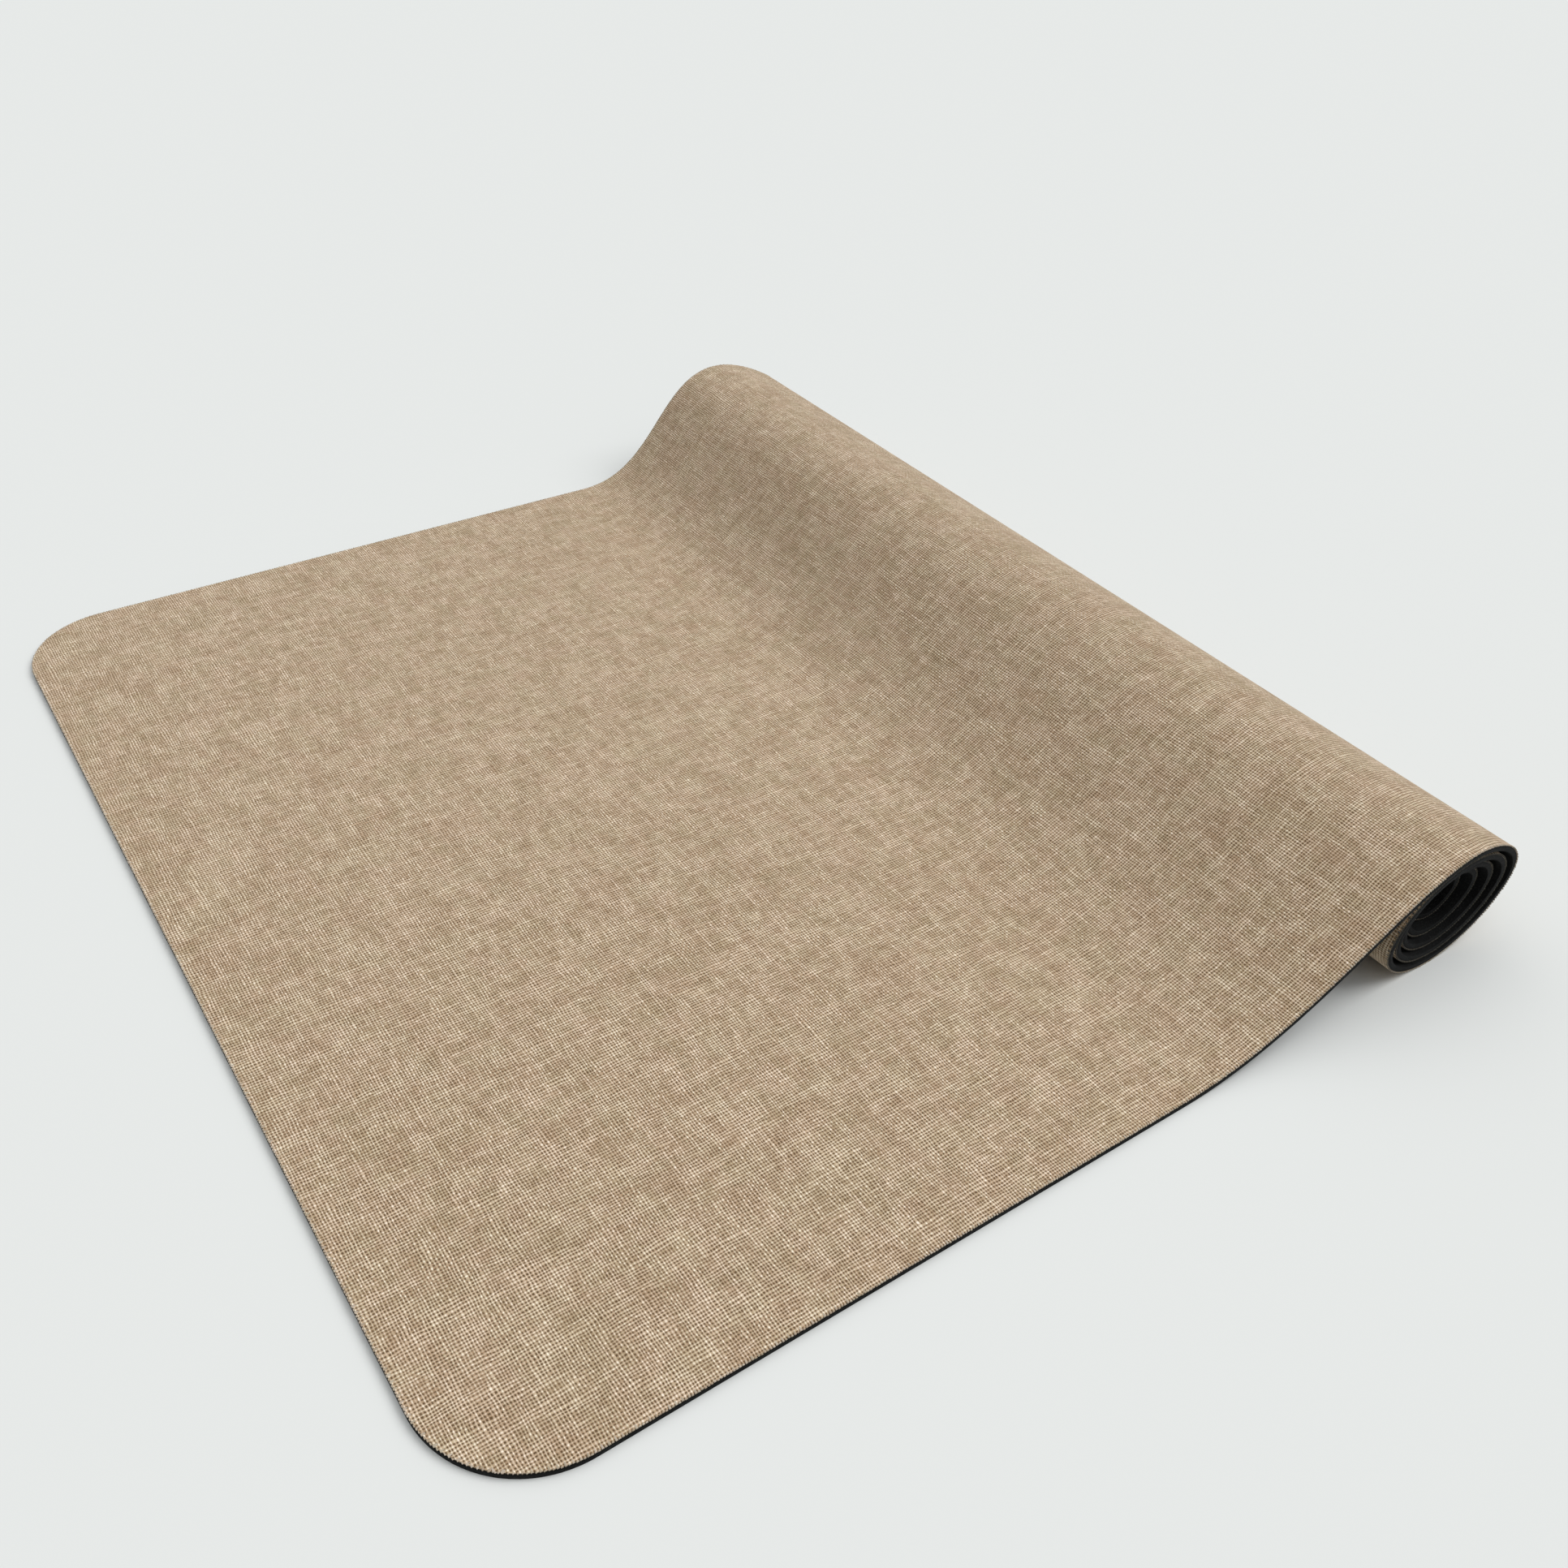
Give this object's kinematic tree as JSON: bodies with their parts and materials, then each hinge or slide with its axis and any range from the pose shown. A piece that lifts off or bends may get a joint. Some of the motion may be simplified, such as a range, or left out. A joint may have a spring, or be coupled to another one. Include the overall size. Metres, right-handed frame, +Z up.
{
  "type": "yoga mat",
  "caption": "Woven-faced rubber yoga mat on the floor, partly unrolled: a flat stretch with rounded corners rises into a loose, sagging roll.",
  "frame": {"origin": "on the floor, under the middle of the bounding box", "axes": "+X from the free end to the roll, +Y across the mat and along the roll, +Z up"},
  "size_m": [0.5908, 0.6918, 0.079],
  "materials": {
    "woven_linen": "coarse plain weave, matt",
    "adhesive_film": "matt",
    "black_rubber": "fine-pored foam, matt"
  },
  "bodies": {
    "root": {"linen_face": "woven_linen", "bond_film": "adhesive_film", "rubber_base": "black_rubber"}
  },
  "joints": []
}
